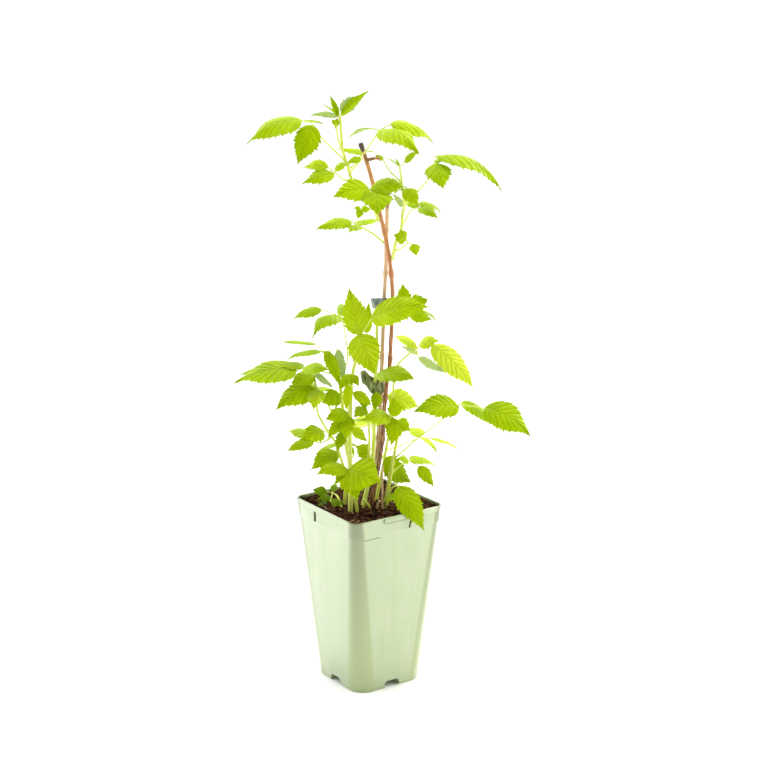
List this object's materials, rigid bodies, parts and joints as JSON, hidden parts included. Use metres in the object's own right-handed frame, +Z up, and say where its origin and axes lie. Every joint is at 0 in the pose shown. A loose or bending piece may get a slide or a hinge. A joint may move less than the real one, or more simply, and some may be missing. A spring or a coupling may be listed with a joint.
{
  "type": "potted raspberry bush",
  "caption": "Young raspberry bush: tied woody canes and leafy green shoots standing in a square tapered nursery pot of peat.",
  "frame": {"origin": "on the floor, under the middle of the pot, at the pad in the middle of its base", "axes": "+Z up; X and Y square to the pot's sides; the label slots are on the +Y and -Y sides; the pictured side looks along (0.57, 0.82, 0) from the -X -Y corner"},
  "size_m": [0.2661, 0.2409, 0.6583],
  "materials": {
    "young_leaf": "fresh yellow-green, satin, paler below",
    "cane_bark": "reddish brown bark, darker near the peat",
    "cane_bark_pale": "pale tan bark",
    "dry_stem": "dry straw-coloured stem",
    "tie_strap": "soft matt grey-green strap",
    "pot_plastic": "pale green satin plastic",
    "peat": "dark crumbly peat with bark chips"
  },
  "bodies": {
    "root": {"pot": "pot_plastic", "soil": "peat", "cane_front": "cane_bark", "cane_back": "cane_bark_pale", "dry_twig": "dry_stem", "dry_stub": "dry_stem", "green_stub": "young_leaf", "tie_upper": "tie_strap", "tie_lower": "tie_strap", "shoot_top_left": "young_leaf", "shoot_top_right": "young_leaf", "leaf_mid_left": "young_leaf", "shoot_front": "young_leaf", "shoot_left": "young_leaf", "shoot_far_left": "young_leaf", "shoot_middle": "young_leaf", "shoot_middle_short": "young_leaf", "shoot_right": "young_leaf", "shoot_back": "young_leaf", "shoot_back_left": "young_leaf", "shoot_low": "young_leaf", "leaf_over_rim": "young_leaf", "leaf_near_soil": "young_leaf"}
  },
  "joints": []
}
